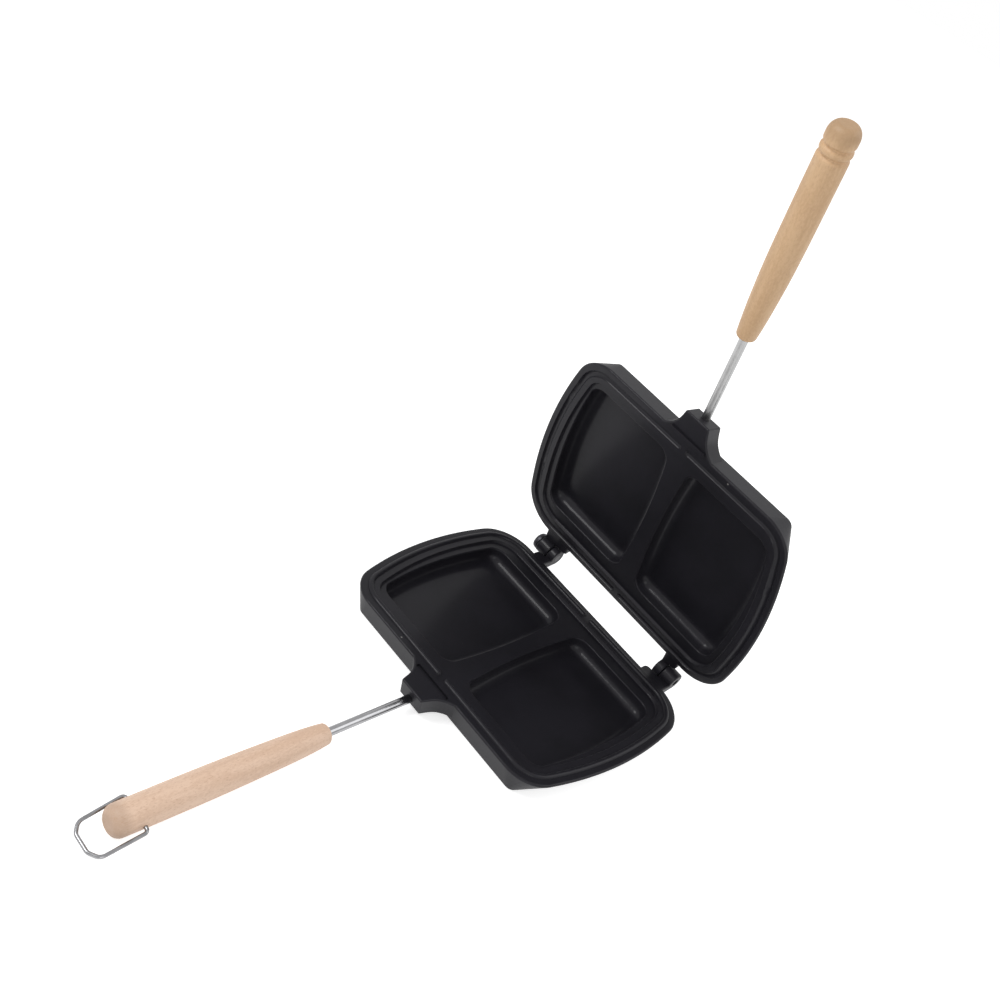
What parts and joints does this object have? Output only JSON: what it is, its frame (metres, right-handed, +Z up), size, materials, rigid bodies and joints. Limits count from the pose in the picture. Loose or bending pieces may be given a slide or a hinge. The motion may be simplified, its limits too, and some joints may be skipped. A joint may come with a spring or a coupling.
{
  "type": "pie iron",
  "caption": "Hinged cast sandwich iron with twin cavities, steel rods, turned beech handles and a wire bail that locks it shut over a fire.",
  "frame": {"origin": "centre of the lower pan's flat base face", "axes": "+X along the hinge, +Y from the handles towards the hinge, +Z up, away from the base face"},
  "size_m": [0.185, 0.3818, 0.3619],
  "materials": {
    "pan_coating": "cast aluminium with a satin black non-stick coating",
    "pin_steel": "dark steel, coated with the pans",
    "rod_chrome": "bright plated steel",
    "rod_steel": "satin drawn steel",
    "beech": "turned beech, sanded and unvarnished",
    "bail_wire": "bright spring wire"
  },
  "bodies": {
    "lower": {"lower_pan": "pan_coating", "left_hinge_pin": "pin_steel", "right_hinge_pin": "pin_steel", "lower_rod": "rod_chrome", "lower_handle": "beech"},
    "upper": {"upper_pan": "pan_coating", "upper_rod": "rod_steel", "upper_handle": "beech"},
    "bail": {"bail": "bail_wire"}
  },
  "joints": [
    {"name": "pan_hinge", "type": "hinge", "parent": "lower", "child": "upper", "pos_m": [0, 0.0894, 0.01655], "axis": [-1, 0, 0], "range_deg": [-70.5, 109.5]},
    {"name": "bail_pivot", "type": "hinge", "parent": "lower", "child": "bail", "pos_m": [0, -0.2589, 0.008], "axis": [-1, 0, 0], "range_deg": [-140, 109.24]}
  ]
}
